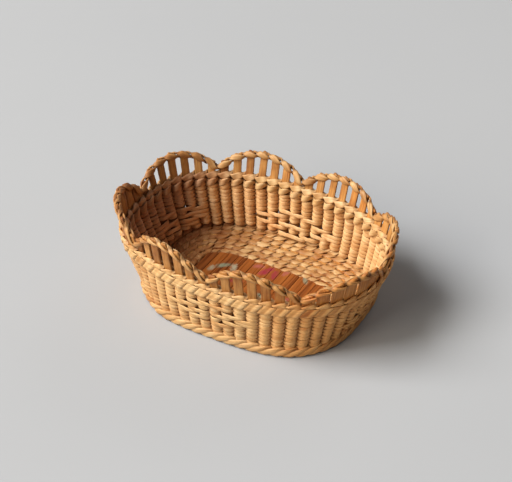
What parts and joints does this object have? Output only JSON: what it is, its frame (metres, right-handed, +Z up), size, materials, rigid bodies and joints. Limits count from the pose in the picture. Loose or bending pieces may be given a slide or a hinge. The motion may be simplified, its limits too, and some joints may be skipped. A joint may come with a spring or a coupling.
{
  "type": "oval woven cane basket",
  "caption": "Small oval basket of woven split cane with a flat slatted floor, flared basketwork wall and an openwork scalloped rim.",
  "frame": {"origin": "on the ground under the middle of the basket", "axes": "+X along the basket's long side, +Y across it, +Z up"},
  "size_m": [0.1006, 0.0732, 0.0332],
  "materials": {
    "cane_floor": "glossy orange-brown cane skin, fine lengthwise grain, faint painted strokes",
    "cane_splint": "satin tan split cane with fine lengthwise ribs",
    "cane_weaver": "satin golden straw-coloured weaving strand, mottled",
    "cane_border": "satin brown twisted cane strand, worn pale on the high spots"
  },
  "bodies": {
    "root": {"cross_splint_01": "cane_floor", "cross_splint_02": "cane_floor", "cross_splint_03": "cane_floor", "cross_splint_04": "cane_floor", "cross_splint_05": "cane_floor", "cross_splint_06": "cane_floor", "cross_splint_07": "cane_floor", "cross_splint_08": "cane_floor", "cross_splint_09": "cane_floor", "cross_splint_10": "cane_floor", "cross_splint_11": "cane_floor", "cross_splint_12": "cane_floor", "cross_splint_13": "cane_floor", "cross_splint_14": "cane_floor", "left_splint_01": "cane_splint", "left_splint_02": "cane_splint", "left_splint_03": "cane_splint", "left_splint_04": "cane_splint", "left_splint_05": "cane_splint", "left_splint_06": "cane_splint", "left_splint_07": "cane_splint", "left_splint_08": "cane_splint", "left_splint_09": "cane_splint", "left_splint_10": "cane_splint", "left_splint_11": "cane_splint", "left_splint_12": "cane_splint", "left_splint_13": "cane_splint", "left_splint_14": "cane_splint", "right_splint_01": "cane_splint", "right_splint_02": "cane_splint", "right_splint_03": "cane_splint", "right_splint_04": "cane_splint", "right_splint_05": "cane_splint", "right_splint_06": "cane_splint", "right_splint_07": "cane_splint", "right_splint_08": "cane_splint", "right_splint_09": "cane_splint", "right_splint_10": "cane_splint", "right_splint_11": "cane_splint", "right_splint_12": "cane_splint", "right_splint_13": "cane_splint", "right_splint_14": "cane_splint", "wall_weave": "cane_weaver", "upper_wale": "cane_weaver", "rim_twining": "cane_weaver", "floor_twining_inner": "cane_weaver", "floor_twining_outer": "cane_weaver", "foot_wale": "cane_weaver", "scallop_border": "cane_border"}
  },
  "joints": []
}
